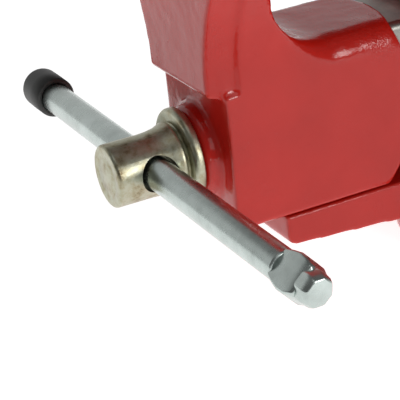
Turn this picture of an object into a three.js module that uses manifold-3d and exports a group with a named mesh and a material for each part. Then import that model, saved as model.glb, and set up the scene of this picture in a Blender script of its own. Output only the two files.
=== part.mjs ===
// A bench vise with a swivel base: jaws 125 mm wide, opening to 110 mm, shown open by 12 mm.
// Millimetres, +Z up. The origin is the middle of the swivel base's underside, on the swivel axis.
// The lead screw runs along X, with its head and handle at the -X end.
import * as THREE from "three";
import { mergeVertices } from "three/addons/utils/BufferGeometryUtils.js";
import Module from "manifold-3d";

const wasm = await Module();
wasm.setup();

// ---- Driving dimensions ----
const fit = 0.3; // clearance left between two pieces that touch
const jawWidth = 125;
const jawTop = 226;
const screwZ = 88; // height of the lead screw's axis
const fullTurn = Math.PI * 2;

// Swivel base
const baseRadius = 58.5;
const baseHeight = 33.7;
const baseFloor = 10;
const slotRadius = 46; // circle that the two locking bolts slide along
const slotHalfWidth = 5.5;
const slotRoomHalfWidth = 9.5;
const slotLip = 22; // underside of the lips that the bolt heads pull against
const pivotRadius = 8;
const pivotSeat = 12; // bottom of the blind hole that holds the pivot pin
const pivotTop = 48;
const lugAngles = [0, 130, -130]; // degrees from +X
const lugReach = 76;
const lugRadius = 16;
const lugHeight = 14;
const lugHoleRadius = 6.5;
const lugRoot = 2; // how far a lug's web reaches into the base's wall, clear of the slot's room

// Fixed body
const tableBottom = 34;
const tableTop = 52;
const tableRadius = 66;
const tableRound = 6;
const bodyHalfWidth = 38;
const waistHalfWidth = 34.4; // narrower beside the locking nuts
const waistTop = 76;
const bodyFront = -55;
const bodyRear = 74;
const anvilRear = 108;
const bodyTop = 152;
const anvilTop = 164;
const fixedJawFace = -56.7; // casting face behind the fixed insert
const headUnder = 198; // underside of both jaw heads at their faces
const fixedThroatX = -34;
const fixedThroatRadius = 24;
const tongueFront = -150;
const tongueTop = 55;
const tongueNose = 38.8; // underside of the tongue at its front end
const tongueRoot = 34.5; // underside of the tongue where it meets the turntable
const tongueHalfWidth = 34;
const tongueFilletX = -92; // where the tongue's sides start to widen into the turntable

// Moving jaw
const beamHalfWidth = 35;
const stripHalfWidth = 33; // set-back front strip of each side
const stripTaper = 1.6; // the strip narrows towards the front by this much on each side
const stripEnd = -170.5; // where the set-back strip starts to step out
const stripStep = 2.2;
const beamBottom = 55.6;
const beamTop = 140;
const beamTopRound = 13;
const rimRound = 1.6; // rounding of the throat's rim up on the post
const blockFront = -185;
const lowerFront = -177;
const blockUnder = 125; // underside of the overhanging front block
const throatX = -118;
const throatZ = 175;
const throatRadius = 35;
const beamDomeX = -138.5; // centre of the domed rear end of the painted block
const beamDomeZ = 100;
const beamDomeRadius = 73.8;
const jawBackRound = 44;
const movingJawFace = -89.3;
const flareStart = 130; // height where the necks of both jaws start to widen
const flareEnd = 195;
const bossRadius = 24.5;
const bossFront = -185.6;

// Machined slide and the tunnel it runs in
const slideHalfWidth = 28;
const slideBottom = 64;
const slideTop = 137;
const slideRound = 4;
const slideRear = 116;
const channelHalfWidth = 17;
const channelTop = 118;
const channelFront = -152;
const slideClearance = 0.4;
const coreHalfWidth = 28; // wider cavity cored into the painted block
const coreTop = 131;
const coreRear = -92;

// Lead screw and handle
const headFace = -228;
const headRadius = 15.9;
const headLength = 34;
const flangeRadius = 24.5;
const flangeFront = -191;
const flangeRear = -186;
const shankRadius = 12;
const shankEnd = -128;
const pinRadius = 2.3;
const pinHoleRadius = 2.6;
const threadRadius = 11;
const screwEnd = 108;
const barX = -206.4;
const barRadius = 8;
const barHoleRadius = 9.5;
const barFarEnd = 146;
const barNearEnd = -168;
const pressLength = 28;
const capLength = 26;
const capRadius = 11;

// Jaw inserts
const insertThickness = 10;
const insertHeight = 26;
const insertMiddleZ = jawTop - insertHeight / 2;
const insertScrewY = 38;
const insertScrewRadius = 4;
const tappedRadius = 3.4; // hole in the casting for an insert screw
const tappedDepth = 18;

// Nut, locking bolts and pivot
const nutX = -38;
const nutBoltSeat = 44;
const nutBoltHoleRadius = 5.3;
const nutBoltHeadRoom = 9.6;
const lockBoltRadius = 5;
const lockBoltHoleRadius = 5.6;

// ---- Shape helpers ----
function solid(geometry) {
  const bare = geometry.clone();
  bare.deleteAttribute("normal");
  bare.deleteAttribute("uv");
  const welded = mergeVertices(bare, 1e-4);
  return new wasm.Manifold(
    new wasm.Mesh({
      numProp: 3,
      vertProperties: welded.attributes.position.array,
      triVerts: new Uint32Array(welded.index.array),
    }),
  );
}

function geometryOf(body) {
  const mesh = body.getMesh();
  const geometry = new THREE.BufferGeometry();
  geometry.setAttribute("position", new THREE.BufferAttribute(mesh.vertProperties, 3));
  geometry.setIndex(new THREE.BufferAttribute(mesh.triVerts, 1));
  geometry.computeVertexNormals();
  return geometry;
}

function shapeOf(points) {
  return new THREE.Shape(points.map(([a, b]) => new THREE.Vector2(a, b)));
}

// Points of an arc about a centre, from one angle to another in degrees.
function arc(centreA, centreB, radius, fromDeg, toDeg, steps = 6) {
  const points = [];
  for (let i = 0; i <= steps; i++) {
    const angle = THREE.MathUtils.degToRad(fromDeg + ((toDeg - fromDeg) * i) / steps);
    points.push([centreA + radius * Math.cos(angle), centreB + radius * Math.sin(angle)]);
  }
  return points;
}

function extruded(shape, depth) {
  return new THREE.ExtrudeGeometry(shape, { depth, bevelEnabled: false, curveSegments: 8 });
}

// A side outline in X and Z, as wide as twice halfWidth along Y.
function sideSlab(points, halfWidth) {
  const geometry = extruded(shapeOf(points), 2 * halfWidth);
  geometry.rotateX(Math.PI / 2);
  geometry.translate(0, halfWidth, 0);
  return solid(geometry);
}

// An end outline in Y and Z, from one X to another.
function endPrism(points, fromX, toX) {
  const geometry = extruded(shapeOf(points), toX - fromX);
  const turn = new THREE.Matrix4().makeBasis(
    new THREE.Vector3(0, 1, 0),
    new THREE.Vector3(0, 0, 1),
    new THREE.Vector3(1, 0, 0),
  );
  geometry.applyMatrix4(turn);
  geometry.translate(fromX, 0, 0);
  return solid(geometry);
}

function box(fromX, toX, fromY, toY, fromZ, toZ) {
  const geometry = new THREE.BoxGeometry(toX - fromX, toY - fromY, toZ - fromZ);
  geometry.translate((fromX + toX) / 2, (fromY + toY) / 2, (fromZ + toZ) / 2);
  return solid(geometry);
}

function cylinderX(radius, fromX, toX, y, z, sides = 32) {
  const geometry = new THREE.CylinderGeometry(radius, radius, toX - fromX, sides);
  geometry.rotateZ(-Math.PI / 2);
  geometry.translate((fromX + toX) / 2, y, z);
  return solid(geometry);
}

function cylinderY(radius, fromY, toY, x, z, sides = 32) {
  const geometry = new THREE.CylinderGeometry(radius, radius, toY - fromY, sides);
  geometry.translate(x, (fromY + toY) / 2, z);
  return solid(geometry);
}

function cylinderZ(radius, fromZ, toZ, x, y, sides = 32) {
  const geometry = new THREE.CylinderGeometry(radius, radius, toZ - fromZ, sides);
  geometry.rotateX(Math.PI / 2);
  geometry.translate(x, y, (fromZ + toZ) / 2);
  return solid(geometry);
}

// A turned body from [radius, height] points that run upwards along the axis.
function turned(points, sides = 40) {
  return new THREE.LatheGeometry(points.map(([r, h]) => new THREE.Vector2(r, h)), sides);
}

// A turned body whose heights run along +X.
function turnedX(points, sides) {
  return turned(points, sides).rotateZ(-Math.PI / 2);
}

// A turned body whose heights run along +Z.
function turnedZ(points, sides) {
  return turned(points, sides).rotateX(Math.PI / 2);
}

// Half width of a jaw at a height: its neck widens evenly faster up to the full jaw width.
function jawHalfWidth(z, neckHalfWidth, inset = 0) {
  const full = jawWidth / 2 - inset;
  const part = THREE.MathUtils.clamp((z - flareStart) / (flareEnd - flareStart), 0, 1);
  return neckHalfWidth + (full - neckHalfWidth) * part * part;
}

// Outline of a jaw seen from its end, from the neck's bottom to the jaw's top.
function flaredOutline(neckHalfWidth, neckBottom, inset = 0) {
  const right = [[neckHalfWidth, neckBottom]];
  const steps = 12;
  for (let i = 0; i <= steps; i++) {
    const z = flareStart + ((flareEnd - flareStart) * i) / steps;
    right.push([jawHalfWidth(z, neckHalfWidth, inset), z]);
  }
  const full = jawWidth / 2 - inset;
  right.push([full, jawTop - 2], [full - 2, jawTop]);
  const left = right.map(([y, z]) => [-y, z]).reverse();
  return [...right, ...left];
}

// A closed skin over rings of points, where each ring has as many points as the next.
function skin(rings, capFaces) {
  const size = rings[0].length;
  const last = (rings.length - 1) * size;
  const index = [];
  for (let r = 0; r + 1 < rings.length; r++) {
    for (let i = 0; i < size; i++) {
      const here = r * size + i;
      const beside = r * size + ((i + 1) % size);
      index.push(here, beside, here + size, beside, beside + size, here + size);
    }
  }
  for (const [a, b, c] of capFaces) {
    index.push(a, c, b, last + a, last + b, last + c);
  }
  return { points: rings.flat(2), index };
}

function solidSkin({ points, index }) {
  const geometry = new THREE.BufferGeometry();
  geometry.setAttribute("position", new THREE.Float32BufferAttribute(points, 3));
  geometry.setIndex(index);
  return solid(geometry);
}

// Triangles that fill an outline, wound the same way round as the outline itself.
function capOf(outline) {
  const points = outline.map(([a, b]) => new THREE.Vector2(a, b));
  const faces = THREE.ShapeUtils.triangulateShape(points, []);
  return THREE.ShapeUtils.area(points) > 0 ? faces : faces.map(([a, b, c]) => [a, c, b]);
}

// A prism along X whose end outline changes evenly into another one.
function taperedPrism(fromOutline, fromX, toOutline, toX) {
  const rings = [
    fromOutline.map(([y, z]) => [fromX, y, z]),
    toOutline.map(([y, z]) => [toX, y, z]),
  ];
  return solidSkin(skin(rings, capOf(fromOutline)));
}

// What rounding takes off the rim between the throat and the +Y side, along a path of stations.
// Each station has its point on the throat, the direction into the metal, and its radius.
function rimCutter(stations, neckHalfWidth) {
  const clear = 3;
  const rings = stations.map(({ x, z, into, radius }) => {
    const quarter = [];
    for (let i = 0; i <= 6; i++) {
      const angle = (Math.PI / 2) * (i / 6);
      quarter.push([radius * (1 - Math.sin(angle)), radius * (1 - Math.cos(angle))]);
    }
    const profile = [[-clear, -clear], [radius, -clear], ...quarter, [-clear, radius]];
    return profile.map(([depth, inwards]) => {
      const height = z + into[1] * depth;
      return [x + into[0] * depth, jawHalfWidth(height, neckHalfWidth) - inwards, height];
    });
  });
  const flatRing = rings[0].map(([, y, z]) => [y, z]);
  return solidSkin(skin(rings, capOf(flatRing)));
}

function roundedBar(halfWidth, bottom, top, bottomRound, topRound) {
  return [
    ...arc(halfWidth - bottomRound, bottom + bottomRound, bottomRound, -90, 0, 4),
    ...arc(halfWidth - topRound, top - topRound, topRound, 0, 90, 6),
    ...arc(-halfWidth + topRound, top - topRound, topRound, 90, 180, 6),
    ...arc(-halfWidth + bottomRound, bottom + bottomRound, bottomRound, 180, 270, 4),
  ];
}

// ---- Materials ----
const redPaint = { color: 0xb63c37, roughness: 0.22, metalness: 0 };
const bareIron = { color: 0x9a9a98, roughness: 0.4, metalness: 1 };
const yellowZinc = { color: 0xb9b59a, roughness: 0.35, metalness: 1 };
const brightZinc = { color: 0xc4cbcd, roughness: 0.25, metalness: 1 };
const blackOxide = { color: 0x35363a, roughness: 0.45, metalness: 1 };
const hardSteel = { color: 0x8f9194, roughness: 0.35, metalness: 1 };
const blackRubber = { color: 0x232321, roughness: 0.75, metalness: 0 };

const vise = new THREE.Group();

function addPiece(name, geometry, look, place = [0, 0, 0], turn = [0, 0, 0]) {
  const mesh = new THREE.Mesh(geometry, new THREE.MeshStandardMaterial(look));
  mesh.name = name;
  mesh.position.set(...place);
  mesh.rotation.set(...turn);
  vise.add(mesh);
}

// ---- Swivel base ----
function swivelBase() {
  const slotInner = slotRadius - slotHalfWidth;
  const slotOuter = slotRadius + slotHalfWidth;
  const roomInner = slotRadius - slotRoomHalfWidth;
  const roomOuter = slotRadius + slotRoomHalfWidth;
  const pivotBore = pivotRadius + fit;
  const ring = [
    [0, 0],
    [baseRadius, 0],
    [baseRadius, baseHeight - 3],
    [baseRadius - 3, baseHeight],
    [slotOuter, baseHeight],
    [slotOuter, slotLip],
    [roomOuter, slotLip],
    [roomOuter, baseFloor],
    [roomInner, baseFloor],
    [roomInner, slotLip],
    [slotInner, slotLip],
    [slotInner, baseHeight],
    [pivotBore, baseHeight],
    [pivotBore, pivotSeat],
    [0, pivotSeat],
  ];
  let base = solid(turnedZ(ring, 48));
  for (const degrees of lugAngles) {
    const angle = THREE.MathUtils.degToRad(degrees);
    const x = lugReach * Math.cos(angle);
    const y = lugReach * Math.sin(angle);
    const lug = cylinderZ(lugRadius, 0, lugHeight, x, y, 24);
    const web = new THREE.BoxGeometry(lugReach - baseRadius + lugRoot, 2 * lugRadius, lugHeight);
    web.translate((lugReach + baseRadius - lugRoot) / 2, 0, lugHeight / 2);
    web.rotateZ(angle);
    const hole = cylinderZ(lugHoleRadius, -1, lugHeight + 1, x, y, 20);
    base = base.add(lug).add(solid(web)).subtract(hole);
  }
  addPiece("swivel_base", geometryOf(base), redPaint);
}

// Concave fillets in plan that carry the tongue's two sides out to the turntable's rim.
function tongueFillets() {
  const reach = 20;
  const filletRadius = 22;
  const centreY = tongueHalfWidth + filletRadius;
  const curve = arc(tongueFilletX, centreY, filletRadius, -90, -38, 6);
  const rimX = -Math.sqrt(tableRadius ** 2 - curve.at(-1)[1] ** 2);
  const plan = [...curve, [rimX + reach, curve.at(-1)[1]], [rimX + reach, 0], [tongueFilletX, 0]];
  const mirrored = plan.map(([x, y]) => [x, -y]);
  const under = tongueRoot;
  const fillets = [plan, mirrored].map((outline) => {
    const geometry = extruded(shapeOf(outline), tableTop - tableRound - under);
    geometry.translate(0, 0, under);
    return solid(geometry);
  });
  return fillets[0].add(fillets[1]);
}

// ---- Fixed body: turntable, tunnel for the slide, fixed jaw, anvil and tongue in one casting ----
function fixedBody() {
  const lowerSide = [
    [bodyFront, tableBottom],
    [bodyRear, tableBottom],
    [bodyRear, 108],
    [anvilRear, 140],
    [anvilRear, anvilTop - 2],
    [anvilRear - 2, anvilTop],
    [-20, anvilTop],
    [-20, bodyTop],
    [bodyFront + 5, bodyTop],
    [bodyFront, bodyTop - 5],
  ];
  const lower = sideSlab(lowerSide, bodyHalfWidth + 1);
  const upperEnd = roundedBar(bodyHalfWidth, waistTop, anvilTop, 1, 9);
  const lowerEnd = [
    [waistHalfWidth, tableBottom],
    [waistHalfWidth, waistTop],
    ...upperEnd.filter(([, z]) => z > waistTop + 0.5),
    [-waistHalfWidth, waistTop],
    [-waistHalfWidth, tableBottom],
  ];
  const trunk = lower.intersect(endPrism(lowerEnd, bodyFront - 1, anvilRear + 1));

  const jawSide = [
    [-52, bodyTop - 12],
    [46, bodyTop - 12],
    ...arc(46, anvilTop + 26, 26, 270, 180, 6),
    ...arc(-16, jawTop - 36, 36, 15, 75, 5),
    [-14, jawTop],
    [fixedJawFace + 1, jawTop],
    [fixedJawFace, jawTop - 1],
    [fixedJawFace, headUnder + 2],
    [fixedJawFace + 2, headUnder],
    ...arc(fixedThroatX, bodyTop + fixedThroatRadius, fixedThroatRadius, 62, -90, 10),
    [-52, bodyTop],
  ];
  const jawShape = sideSlab(jawSide, jawWidth / 2 + 1);
  const jaw = jawShape.intersect(endPrism(flaredOutline(bodyHalfWidth, bodyTop - 12), -70, 50));

  const tableProfile = [
    [0, tableBottom],
    [tableRadius, tableBottom],
    [tableRadius, tableTop - tableRound],
    ...arc(tableRadius - tableRound, tableTop - tableRound, tableRound, 15, 90, 4),
    [0, tableTop],
  ];
  const table = solid(turnedZ(tableProfile, 48));

  const tongueSide = [
    [tongueFront + 4, tongueNose],
    [tongueFilletX + 6, tongueRoot],
    [-60, tableBottom],
    [-50, tableBottom],
    [-50, tongueTop],
    [tongueFront, tongueTop],
    [tongueFront, tongueNose + 4],
    [tongueFront + 1.2, tongueNose + 1.2],
  ];
  const tongue = sideSlab(tongueSide, tongueHalfWidth).add(tongueFillets());

  const tunnel = endPrism(
    roundedBar(
      slideHalfWidth + slideClearance,
      slideBottom - slideClearance,
      slideTop + slideClearance,
      1,
      slideRound,
    ),
    bodyFront - 2,
    anvilRear + 2,
  );
  let body = trunk.add(jaw).add(table).add(tongue).subtract(tunnel);
  for (const side of [-1, 1]) {
    const bolt = cylinderZ(lockBoltHoleRadius, tableBottom - 1, tableTop + 1, 0, side * slotRadius, 24);
    const tapped = cylinderX(
      tappedRadius,
      fixedJawFace - 1,
      fixedJawFace + tappedDepth,
      side * insertScrewY,
      insertMiddleZ,
      20,
    );
    body = body.subtract(bolt).subtract(tapped);
  }
  const under = tableBottom - 5;
  body = body.subtract(cylinderZ(pivotRadius + fit, under, pivotTop + 2, 0, 0, 32));
  body = body.subtract(cylinderZ(nutBoltHoleRadius, under, slideBottom + 1, nutX, 0, 24));
  body = body.subtract(cylinderZ(nutBoltHeadRoom, under, nutBoltSeat, nutX, 0, 24));
  addPiece("fixed_jaw_body", geometryOf(body), redPaint);
}

// ---- Moving jaw: front block, jaw head and machined slide in one casting ----
// Path of the rim from the beam's rear end, along its top and up the throat, with a fading radius.
function throatRim() {
  const stations = [
    { x: beamDomeX + beamDomeRadius + 1, z: beamTop, into: [0, -1], radius: beamTopRound },
    { x: throatX + 6, z: beamTop, into: [0, -1], radius: beamTopRound },
  ];
  const fadeEnd = 222;
  for (let degrees = 270; degrees >= 150; degrees -= 12) {
    const angle = THREE.MathUtils.degToRad(degrees);
    const into = [Math.cos(angle), Math.sin(angle)];
    const fade = THREE.MathUtils.clamp((degrees - fadeEnd) / (270 - fadeEnd), 0, 1);
    stations.push({
      x: throatX + throatRadius * into[0],
      z: throatZ + throatRadius * into[1],
      into,
      radius: rimRound + (beamTopRound - rimRound) * fade,
    });
  }
  return stations;
}

function movingJaw() {
  const beamDome = wasm.Manifold.sphere(beamDomeRadius, 72).translate(beamDomeX, 0, beamDomeZ);
  const beamEnd = roundedBar(beamHalfWidth, beamBottom, beamTop, 2, 1);
  let beam = endPrism(beamEnd, lowerFront, beamDomeX + beamDomeRadius).intersect(
    beamDome.add(box(lowerFront - 1, beamDomeX, -50, 50, 0, 200)),
  );
  for (const [fromY, toY] of [[-beamHalfWidth - 1, -stripHalfWidth], [stripHalfWidth, beamHalfWidth + 1]]) {
    const strip = box(lowerFront - 1, stripEnd + stripStep, fromY, toY, blockUnder, beamTop + 1);
    beam = beam.subtract(strip);
  }

  const jawSide = [
    [lowerFront, blockUnder - 1],
    [blockFront + 1.5, blockUnder],
    [blockFront, blockUnder + 2.5],
    ...arc(blockFront + jawBackRound, jawTop - jawBackRound, jawBackRound, 180, 90, 8),
    [movingJawFace - 1, jawTop],
    [movingJawFace, jawTop - 1],
    [movingJawFace, headUnder + 2],
    [movingJawFace - 2, headUnder],
    ...arc(throatX, throatZ, throatRadius, 142, 270, 16),
    [throatX, beamTop - 16],
    [lowerFront, beamTop - 16],
  ];
  const stripInset = beamHalfWidth - stripHalfWidth;
  const stripOutline = flaredOutline(stripHalfWidth, beamBottom, stripInset);
  const frontOutline = flaredOutline(stripHalfWidth - stripTaper, beamBottom, stripInset + stripTaper);
  const plateOutline = flaredOutline(beamHalfWidth, beamBottom);
  const flare = taperedPrism(frontOutline, blockFront, stripOutline, stripEnd)
    .add(taperedPrism(stripOutline, stripEnd, plateOutline, stripEnd + stripStep))
    .add(endPrism(plateOutline, stripEnd + stripStep, movingJawFace + 1));
  const jaw = sideSlab(jawSide, jawWidth / 2 + 1).intersect(flare);

  const slideEnd = roundedBar(slideHalfWidth, slideBottom, slideTop, 0.6, slideRound);
  const slide = endPrism(slideEnd, channelFront, slideRear);

  const boss = turnedX(
    [
      [0, bossFront],
      [bossRadius - 5, bossFront],
      ...arc(bossRadius - 5, bossFront + 5, 5, -72, 0, 5),
      [bossRadius, lowerFront + 4],
      [0, lowerFront + 4],
    ],
    40,
  );
  boss.translate(0, 0, screwZ);

  const screwBore = cylinderX(shankRadius + 0.4, bossFront - 1, channelFront + 1, 0, screwZ, 32);
  const channel = box(
    channelFront,
    slideRear + 1,
    -channelHalfWidth,
    channelHalfWidth,
    beamBottom - 1,
    channelTop,
  );
  const core = box(channelFront, coreRear, -coreHalfWidth, coreHalfWidth, beamBottom - 1, coreTop);
  const rim = rimCutter(throatRim(), beamHalfWidth);
  let body = beam.add(jaw).subtract(rim).subtract(rim.mirror([0, 1, 0]));
  body = body.add(slide).add(solid(boss)).subtract(screwBore).subtract(channel).subtract(core);
  for (const side of [-1, 1]) {
    const tapped = cylinderX(
      tappedRadius,
      movingJawFace - tappedDepth,
      movingJawFace + 1,
      side * insertScrewY,
      insertMiddleZ,
      20,
    );
    body = body.subtract(tapped);
  }
  addPiece("moving_jaw", geometryOf(body), redPaint);
}

// ---- Jaw inserts, each with two countersunk screws ----
// The insert's back is at backX, and it stands out towards the jaw opening.
function jawInsert(name, backX, outward) {
  const faceX = backX + outward * insertThickness;
  const fromX = Math.min(backX, faceX);
  const toX = Math.max(backX, faceX);
  const half = jawWidth / 2;
  let plate = box(fromX, toX, -half, half, jawTop - insertHeight, jawTop);
  for (const side of [-1, 1]) {
    const hole = cylinderX(insertScrewRadius + fit, fromX - 1, toX + 1, side * insertScrewY, insertMiddleZ);
    const countersink = turnedX(
      [
        [0, 0],
        [insertScrewRadius, 0],
        [insertScrewRadius + 4.6, 4.6],
        [0, 4.6],
      ],
      32,
    );
    if (outward < 0) countersink.rotateZ(Math.PI);
    countersink.translate(faceX - outward * 4.5, side * insertScrewY, insertMiddleZ);
    plate = plate.subtract(hole).subtract(solid(countersink));
  }
  addPiece(name + "_insert", geometryOf(plate), hardSteel);
  for (const [word, side] of [["near", -1], ["far", 1]]) {
    const screw = turnedX(
      [
        [0, -24],
        [3, -24],
        [3, -insertThickness],
        [insertScrewRadius - 0.2, -insertThickness],
        [insertScrewRadius - 0.2, -4.6],
        [7.6, -0.8],
        [0, -0.8],
      ],
      24,
    );
    const turn = outward > 0 ? 0 : Math.PI;
    const socket = new THREE.CylinderGeometry(2.9, 2.9, 4, 6);
    socket.rotateZ(-Math.PI / 2);
    socket.translate(-1.8, 0, 0);
    const body = solid(screw).subtract(solid(socket));
    const place = [faceX, side * insertScrewY, insertMiddleZ];
    addPiece(name + "_insert_screw_" + word, geometryOf(body), blackOxide, place, [0, 0, turn]);
  }
}

// ---- Lead screw, its spring, washer and pin, and the nut ----
function leadScrew() {
  const profile = [
    [0, headFace],
    [headRadius - 1.6, headFace],
    [headRadius - 0.5, headFace + 0.5],
    [headRadius, headFace + 1.6],
    [headRadius, headFace + 22],
    [headRadius + 0.8, headFace + 28],
    [headRadius + 2.6, headFace + headLength],
    [headRadius + 2.2, flangeFront - 0.6],
    [flangeRadius - 2.4, flangeFront],
    [flangeRadius - 0.6, flangeFront + 0.6],
    [flangeRadius, flangeFront + 2.2],
    [flangeRadius, flangeRear - 1],
    [flangeRadius - 1, flangeRear],
    [shankRadius, flangeRear],
    [shankRadius, shankEnd],
    [threadRadius, shankEnd + 1],
    [threadRadius, screwEnd - 3],
    [threadRadius - 3, screwEnd],
    [0, screwEnd],
  ];
  const body = turnedX(profile, 48);
  body.translate(0, 0, screwZ);
  const barHole = cylinderY(barHoleRadius, -40, 40, barX, screwZ, 32);
  const pinHole = cylinderY(pinHoleRadius, -20, 20, pinX, screwZ, 16);
  const screw = solid(body).subtract(barHole).subtract(pinHole);
  addPiece("lead_screw", geometryOf(screw), yellowZinc);
}

class Helix extends THREE.Curve {
  constructor(radius, length, turns) {
    super();
    Object.assign(this, { radius, length, turns });
  }

  getPoint(t) {
    const angle = fullTurn * this.turns * t;
    return new THREE.Vector3(
      this.length * t,
      this.radius * Math.cos(angle),
      this.radius * Math.sin(angle),
    );
  }
}

const springFront = channelFront + fit;
const springWire = 2;
const springLength = 12;
const washerX = springFront + springLength + 2 * fit;
const pinX = washerX + 3 + fit + pinRadius;

function screwRetainer() {
  const turns = 2.5;
  const wire = new THREE.Shape().absarc(0, 0, springWire / 2, 0, fullTurn);
  const spring = new THREE.ExtrudeGeometry(wire, {
    steps: 50,
    curveSegments: 4,
    bevelEnabled: false,
    extrudePath: new Helix(shankRadius + 1.6, springLength - springWire, turns),
  });
  addPiece("screw_spring", spring, hardSteel, [springFront + springWire / 2, 0, screwZ]);

  const washer = solid(
    turnedX(
      [
        [0, 0],
        [14.4, 0],
        [14.4, 3],
        [0, 3],
      ],
      32,
    ),
  ).subtract(cylinderX(shankRadius + fit, -1, 4, 0, 0, 32));
  addPiece("screw_washer", geometryOf(washer), brightZinc, [washerX, 0, screwZ]);

  const pin = new THREE.CylinderGeometry(pinRadius, pinRadius, 28, 16);
  addPiece("screw_pin", pin, blackOxide, [pinX, 0, screwZ]);
}

function screwNut() {
  const halfWidth = 13;
  const halfLength = 22;
  const bottom = slideBottom - slideClearance + fit;
  const outline = [
    [-halfWidth, bottom],
    [halfWidth, bottom],
    ...arc(0, screwZ + 4, halfWidth, 0, 180, 10),
  ];
  const body = endPrism(outline, nutX - halfLength, nutX + halfLength)
    .subtract(cylinderX(threadRadius + 0.4, nutX - 30, nutX + 30, 0, screwZ, 32))
    .subtract(cylinderZ(nutBoltHoleRadius, bottom - 1, bottom + 8, nutX, 0, 24));
  addPiece("screw_nut", geometryOf(body), bareIron);

  const boltHead = cylinderZ(8.8, nutBoltSeat - 8, nutBoltSeat - fit, nutX, 0, 6);
  const boltShank = cylinderZ(5, nutBoltSeat - 2, bottom + 7, nutX, 0, 20);
  addPiece("nut_bolt", geometryOf(boltHead.add(boltShank)), blackOxide);
}

// ---- Handle: bar with a pressed end, and a rubber cap ----
function handle() {
  const plain = cylinderY(barRadius, barNearEnd + pressLength, barFarEnd - 3, 0, 0, 40);
  const half = 8.8; // flats that stand a little outside the round bar, so the end stays in the head
  const corner = 3.6;
  const outline = shapeOf([
    [-half, -half + corner],
    [-half + corner, -half],
    [half - corner, -half],
    [half, -half + corner],
    [half, half - corner],
    [half - corner, half],
    [-half + corner, half],
    [-half, half - corner],
  ]);
  const chamfer = 6;
  const narrowing = 3.4;
  const pressed = new THREE.ExtrudeGeometry(outline, {
    depth: pressLength - 2 * chamfer,
    bevelEnabled: true,
    bevelThickness: chamfer,
    bevelSize: narrowing,
    bevelOffset: -narrowing,
    bevelSegments: 4,
  });
  pressed.rotateX(Math.PI / 2);
  pressed.rotateY(Math.PI / 4);
  pressed.translate(0, barNearEnd + pressLength - chamfer, 0);
  const bar = plain.add(solid(pressed));
  addPiece("handle_bar", geometryOf(bar), brightZinc, [barX, 0, screwZ]);

  const capOpen = barFarEnd - capLength;
  const cap = turned(
    [
      [barRadius + fit, 0],
      [capRadius - 0.8, 0],
      [capRadius, 0.8],
      [capRadius, capLength - 4],
      ...arc(capRadius - 4, capLength - 4, 4, 20, 90, 4),
      [0, capLength],
      [0, capLength - 3 + fit],
      [barRadius + fit, capLength - 3 + fit],
      [barRadius + fit, 0],
    ],
    36,
  );
  addPiece("handle_cap", cap, blackRubber, [barX, capOpen, screwZ]);
}

// ---- Swivel pivot pin and the two locking bolts with lever nuts ----
function swivelPivot() {
  const profile = [
    [0, pivotSeat + fit],
    [pivotRadius, pivotSeat + fit],
    [pivotRadius, pivotTop - 2],
    [pivotRadius - 2, pivotTop],
    [0, pivotTop],
  ];
  addPiece("pivot_pin", turnedZ(profile, 32), hardSteel);
}

function swivelLock(word, side) {
  const y = side * slotRadius;
  const headTop = slotLip - fit;
  const head = box(-8, 8, y - 8.5, y + 8.5, headTop - 8, headTop);
  const shank = cylinderZ(lockBoltRadius, headTop - 1, 74, 0, y, 20);
  addPiece("lock_bolt_" + word, geometryOf(head.add(shank)), blackOxide);

  const washerBottom = tableTop + fit;
  const washer = cylinderZ(10, washerBottom, washerBottom + 2.2, 0, y, 28);
  const washerHole = cylinderZ(5.4, washerBottom - 1, washerBottom + 4, 0, y, 24);
  addPiece("lock_washer_" + word, geometryOf(washer.subtract(washerHole)), brightZinc);

  const nutBottom = washerBottom + 2.2 + fit;
  const nut = turnedZ(
    [
      [0, 0],
      [10.5, 0],
      [10.5, 13],
      [9, 15],
      [0, 15],
    ],
    32,
  );
  nut.translate(0, 0, nutBottom);
  const nutBore = cylinderZ(5.4, nutBottom - 1, nutBottom + 18, 0, 0, 24);
  const rodHole = cylinderY(4.4, 7, 20, 0, nutBottom + 8, 20);
  const nutBody = solid(nut).subtract(nutBore).subtract(rodHole);
  const turn = [0, 0, side > 0 ? 0 : Math.PI];
  addPiece("lock_nut_" + word, geometryOf(nutBody), brightZinc, [0, y, 0], turn);

  const rod = turned(
    [
      [0, 0],
      [4, 0],
      [4, 46],
      [5.6, 47.6],
      [6.6, 50],
      [6.6, 53],
      [5.4, 56],
      [3, 58],
      [0, 58.6],
    ],
    24,
  );
  const rodPlace = [0, y + side * 7.6, nutBottom + 8];
  addPiece("lock_lever_" + word, rod, brightZinc, rodPlace, turn);
}

swivelBase();
fixedBody();
movingJaw();
jawInsert("moving", movingJawFace + fit, 1);
jawInsert("fixed", fixedJawFace - fit, -1);
leadScrew();
screwRetainer();
screwNut();
handle();
swivelPivot();
swivelLock("near", -1);
swivelLock("far", 1);

export default vise;
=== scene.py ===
import math
import bpy
from mathutils import Matrix, Vector


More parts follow.
